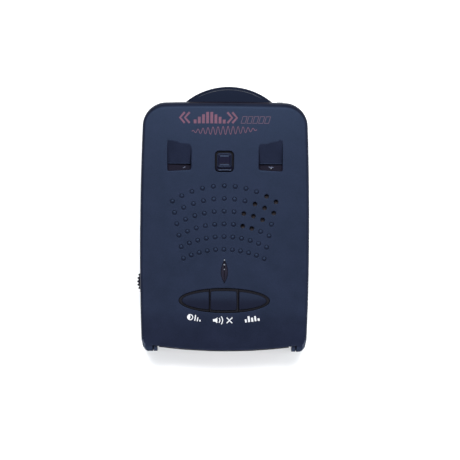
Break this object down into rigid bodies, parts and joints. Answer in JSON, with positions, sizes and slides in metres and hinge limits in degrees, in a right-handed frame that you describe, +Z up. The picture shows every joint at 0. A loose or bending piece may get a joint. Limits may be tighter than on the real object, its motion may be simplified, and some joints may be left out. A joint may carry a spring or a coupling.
{
  "type": "radar detector",
  "caption": "Compact dashboard radar detector with smoked front window, oval key cluster, sound-hole fan, bracket slots with release button, side volume wheel and rear display.",
  "frame": {"origin": "centre line of the case on its flat underside, midway along the case without the snout of the front window", "axes": "+Y forward through the front window towards the road, +Z up out of the keys, +X to the driver's right"},
  "size_m": [0.0705, 0.1085, 0.0314],
  "materials": {
    "case_plastic": "fine matte texture, dark slate blue",
    "key_plastic": "matte, slightly smoother than the case",
    "black_plastic": "satin black",
    "smoked_plastic": "smoked, polished",
    "red_filter": "dark red tinted, polished",
    "clear_plastic": "clear, slightly smoky",
    "label_stock": "blank silver-grey film",
    "screw_steel": "zinc plated",
    "spring_steel": "drawn wire",
    "circuit_board": "green solder mask",
    "cast_metal": "as cast, satin",
    "brass": "turned",
    "chip_black": "moulded epoxy",
    "red_plastic": "satin",
    "felt": "woven dust cloth and coated paper cone",
    "speaker_steel": "plated pressing",
    "ferrite": "sintered, dull",
    "capacitor_sleeve": "heat-shrunk film",
    "connector_plastic": "natural nylon",
    "red_insulation": "satin",
    "black_insulation": "satin"
  },
  "bodies": {
    "case": {"top_shell": "case_plastic", "bottom_shell": "case_plastic", "rear_bezel": "black_plastic", "bracket_guide_left": "black_plastic", "bracket_guide_right": "black_plastic", "release_retainer": "black_plastic", "key_guide": "black_plastic", "dim_switch": "black_plastic", "mute_switch": "black_plastic", "city_switch": "black_plastic", "laser_holder": "black_plastic", "power_jack": "black_plastic", "front_window": "smoked_plastic", "display_window": "red_filter", "sensor_lens": "clear_plastic", "laser_lens": "clear_plastic", "underside_label": "label_stock", "case_screw_1": "screw_steel", "case_screw_2": "screw_steel", "case_screw_3": "screw_steel", "case_screw_4": "screw_steel", "board_screw_left": "screw_steel", "board_screw_right": "screw_steel", "release_spring": "spring_steel", "main_board": "circuit_board", "horn_antenna": "cast_metal", "mixer_housing": "cast_metal", "volume_pot": "cast_metal", "laser_diode": "cast_metal", "crystal": "cast_metal", "tuning_screw": "brass", "sensor_diode": "chip_black", "display_module": "chip_black", "processor_chip": "chip_black", "amplifier_chip": "chip_black", "regulator": "chip_black", "speaker_felt": "felt", "speaker_cone": "felt", "speaker_frame": "speaker_steel", "speaker_magnet": "ferrite", "supply_coil": "ferrite", "capacitor_large": "capacitor_sleeve", "capacitor_small": "capacitor_sleeve", "speaker_socket": "connector_plastic", "speaker_lead_red": "red_insulation", "speaker_lead_black": "black_insulation"},
    "dim_key_body": {"dim_key": "key_plastic", "dim_plunger": "red_plastic"},
    "mute_key_body": {"mute_key": "key_plastic", "mute_plunger": "red_plastic"},
    "city_key_body": {"city_key": "key_plastic", "city_plunger": "red_plastic"},
    "release": {"release_button": "key_plastic"},
    "volume": {"volume_wheel": "black_plastic", "wheel_screw": "screw_steel"}
  },
  "joints": [
    {"name": "dim_press", "type": "slide", "parent": "case", "child": "dim_key_body", "axis": [0, 0, -1], "range_m": [0, 0.0005], "stiffness_N_per_m": 2000},
    {"name": "mute_press", "type": "slide", "parent": "case", "child": "mute_key_body", "axis": [0, 0, -1], "range_m": [0, 0.0005], "stiffness_N_per_m": 2000},
    {"name": "city_press", "type": "slide", "parent": "case", "child": "city_key_body", "axis": [0, 0, -1], "range_m": [0, 0.0005], "stiffness_N_per_m": 2000},
    {"name": "release_press", "type": "slide", "parent": "case", "child": "release", "axis": [0, 0, -1], "range_m": [0, 0.002], "stiffness_N_per_m": 800, "deforming": ["release_spring"]},
    {"name": "volume_turn", "type": "hinge", "parent": "case", "child": "volume", "pos_m": [-0.0278, -0.0225, 0.0208], "axis": [0, 0, 1], "range_deg": [-135, 135]}
  ]
}
